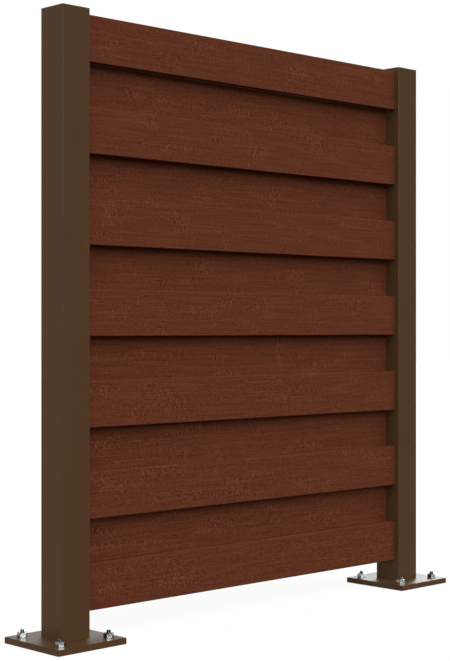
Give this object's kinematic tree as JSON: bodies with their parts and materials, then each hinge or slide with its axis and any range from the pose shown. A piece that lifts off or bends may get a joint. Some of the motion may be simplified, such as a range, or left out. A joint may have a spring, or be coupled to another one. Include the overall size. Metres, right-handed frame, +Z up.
{
  "type": "composite slat fence bay",
  "caption": "Fence bay with wood-look composite boards in alternating front and rear layers between square steel posts on bolted base plates.",
  "frame": {"origin": "centre of the left base plate's underside, at ground level", "axes": "+X along the fence to the right post, -Y towards the front, +Z up"},
  "size_m": [1.762, 0.25, 1.828],
  "materials": {
    "brown_powder_coat": "dark brown powder coat, semi-gloss, slightly textured",
    "brown_cap": "dark brown moulded plastic, satin",
    "composite_board": "red-brown composite with a fine wood grain, matt",
    "zinc_plated_steel": "bright zinc plating"
  },
  "bodies": {
    "root": {"left_post": "brown_powder_coat", "left_post_cap": "brown_cap", "left_base_plate": "brown_powder_coat", "left_front_spigots": "zinc_plated_steel", "left_rear_spigots": "zinc_plated_steel", "right_post": "brown_powder_coat", "right_post_cap": "brown_cap", "right_base_plate": "brown_powder_coat", "right_front_spigots": "zinc_plated_steel", "right_rear_spigots": "zinc_plated_steel", "front_board_1": "composite_board", "front_board_2": "composite_board", "front_board_3": "composite_board", "front_board_4": "composite_board", "front_board_5": "composite_board", "front_board_6": "composite_board", "front_board_7": "composite_board", "rear_board_1": "composite_board", "rear_board_2": "composite_board", "rear_board_3": "composite_board", "rear_board_4": "composite_board", "rear_board_5": "composite_board", "rear_board_6": "composite_board"}
  },
  "joints": []
}
